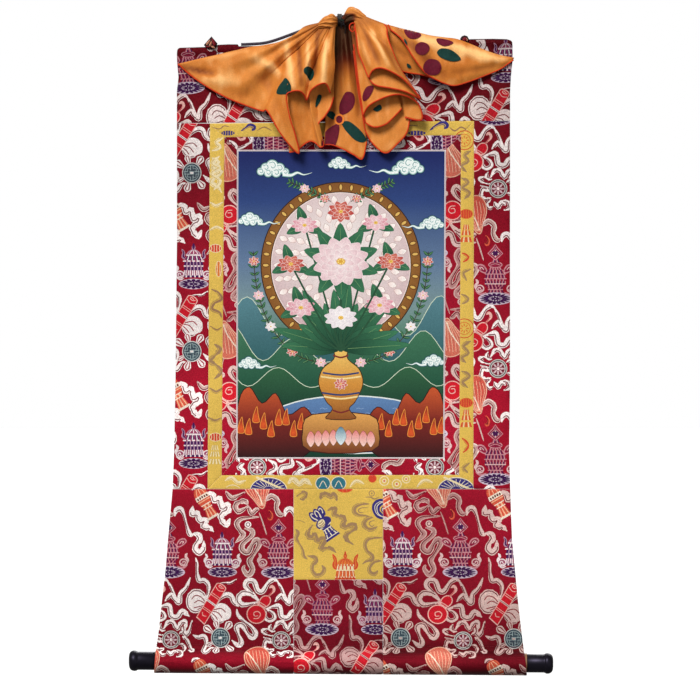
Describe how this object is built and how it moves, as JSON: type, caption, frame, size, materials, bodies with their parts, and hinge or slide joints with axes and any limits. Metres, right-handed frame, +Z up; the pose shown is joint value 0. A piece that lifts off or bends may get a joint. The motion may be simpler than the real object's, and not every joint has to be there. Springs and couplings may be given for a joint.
{
  "type": "thangka scroll painting with roller and hanging cord",
  "caption": "Hanging scroll: painted panel in mitred silk frames on a brocade mount, round roller with turned knobs in the bottom sleeve, gathered silk cover at the top.",
  "frame": {"origin": "top of the hanging cord, where a nail or hook takes the scroll, in the plane of the cloth", "axes": "+Z up along the scroll, -Y out of its painted front, +X to the right as one looks at the front"},
  "size_m": [0.6791, 0.0685, 1.0673],
  "materials": {
    "red_brocade": "woven silk brocade, satin ground",
    "yellow_brocade": "woven silk brocade, satin ground",
    "painted_cloth": "distemper on sized cotton, matt",
    "piping_silk": "silk cord",
    "orange_silk": "thin silk, soft sheen",
    "roller_wood": "plain wood",
    "knob_black": "black, satin",
    "dark_cord": "twisted cord",
    "tab_ribbon": "folded ribbon"
  },
  "bodies": {
    "root": {"mount_top": "red_brocade", "mount_left": "red_brocade", "mount_right": "red_brocade", "mount_lower_left": "red_brocade", "mount_lower_middle": "red_brocade", "mount_lower_right": "red_brocade", "yellow_top": "yellow_brocade", "yellow_right": "yellow_brocade", "yellow_bottom": "yellow_brocade", "yellow_left": "yellow_brocade", "red_top": "red_brocade", "red_right": "red_brocade", "red_bottom": "red_brocade", "red_left": "red_brocade", "door_patch": "yellow_brocade", "picture": "painted_cloth", "picture_piping": "piping_silk", "roller": "roller_wood", "knob_left": "knob_black", "knob_right": "knob_black", "hanging_cord": "dark_cord", "cover_tie": "dark_cord", "tab_left": "tab_ribbon", "tab_right": "tab_ribbon", "cover": "orange_silk"}
  },
  "joints": []
}
